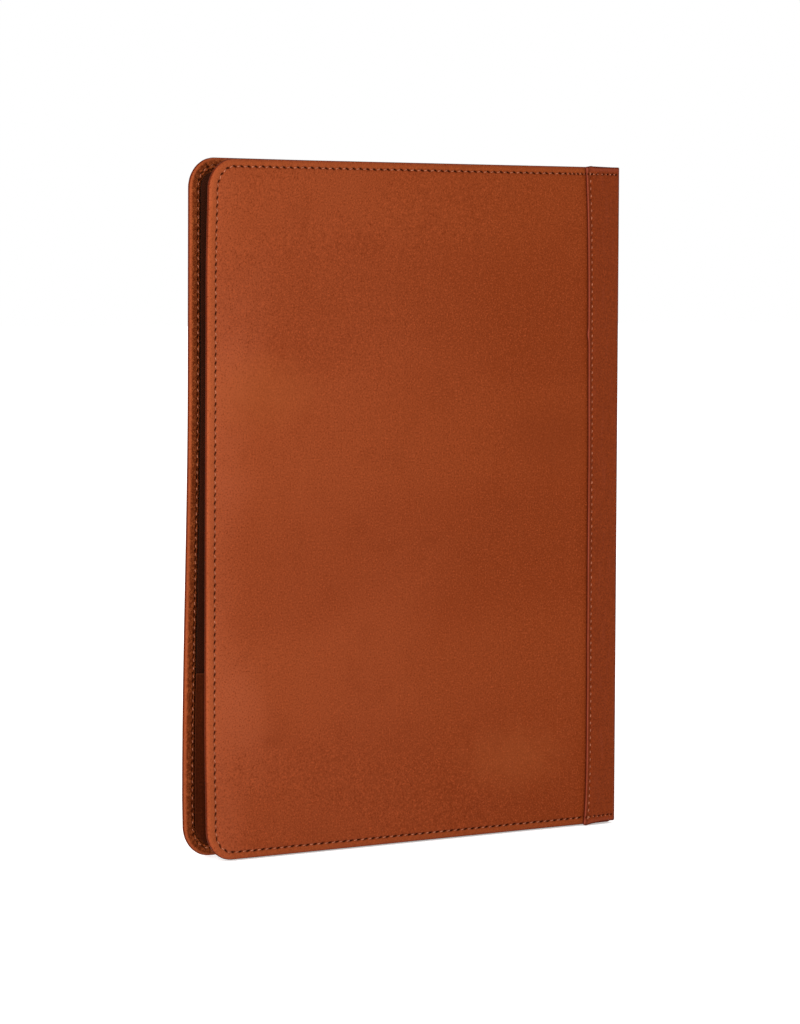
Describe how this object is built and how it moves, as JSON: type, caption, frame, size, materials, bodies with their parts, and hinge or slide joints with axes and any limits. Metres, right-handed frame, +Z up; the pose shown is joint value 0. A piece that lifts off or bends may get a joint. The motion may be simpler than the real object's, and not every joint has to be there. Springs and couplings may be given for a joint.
{
  "type": "leather notebook cover",
  "caption": "Letter-size leather notebook cover with turned, stitched edges and a sewn spine strip; opens flat and holds a writing pad, documents, cards and a pen.",
  "frame": {"origin": "middle of the bottom of the closed, upright cover", "axes": "+Z up the spine, +X from the fore-edge towards the spine, -Y out of the front cover"},
  "size_m": [0.242, 0.0188, 0.317],
  "materials": {
    "cover_leather": "satin",
    "strip_leather": "satin",
    "pocket_leather": "satin",
    "lining": "matte",
    "board": "matte",
    "thread": "satin",
    "backing_card": "matte",
    "paper": "matte",
    "binding_tape": "matte"
  },
  "bodies": {
    "rear_cover": {"rear_cover_leather": "cover_leather", "rear_cover_board": "board", "rear_lining": "lining", "spine_strip_rear_flap": "strip_leather", "rear_perimeter_stitching": "thread", "rear_seam_stitching": "thread", "pad_pocket": "pocket_leather"},
    "spine": {"spine_strip": "strip_leather", "spine_board": "board", "spine_lining": "lining", "pen_loop": "pocket_leather", "spine_top_stitching": "thread", "spine_bottom_stitching": "thread"},
    "front_cover": {"front_cover_leather": "cover_leather", "front_cover_board": "board", "front_lining": "lining", "spine_strip_front_flap": "strip_leather", "front_perimeter_stitching": "thread", "front_seam_stitching": "thread", "document_pocket": "pocket_leather", "card_slot_upper": "pocket_leather", "card_slot_middle": "pocket_leather", "card_slot_lower": "pocket_leather"},
    "pad": {"pad_backing_card": "backing_card", "pad_paper_block": "paper", "pad_binding_tape": "binding_tape"}
  },
  "joints": [
    {"name": "rear_fold", "type": "hinge", "parent": "rear_cover", "child": "spine", "pos_m": [0.12007, 0.00847, 0], "axis": [0, 0, 1], "range_deg": [0, 90]},
    {"name": "front_fold", "type": "hinge", "parent": "spine", "child": "front_cover", "pos_m": [0.12007, -0.00847, 0], "axis": [0, 0, 1], "range_deg": [0, 90]},
    {"name": "pad_slide", "type": "slide", "parent": "rear_cover", "child": "pad", "axis": [0, 0, 1], "range_m": [0, 0.08]}
  ]
}
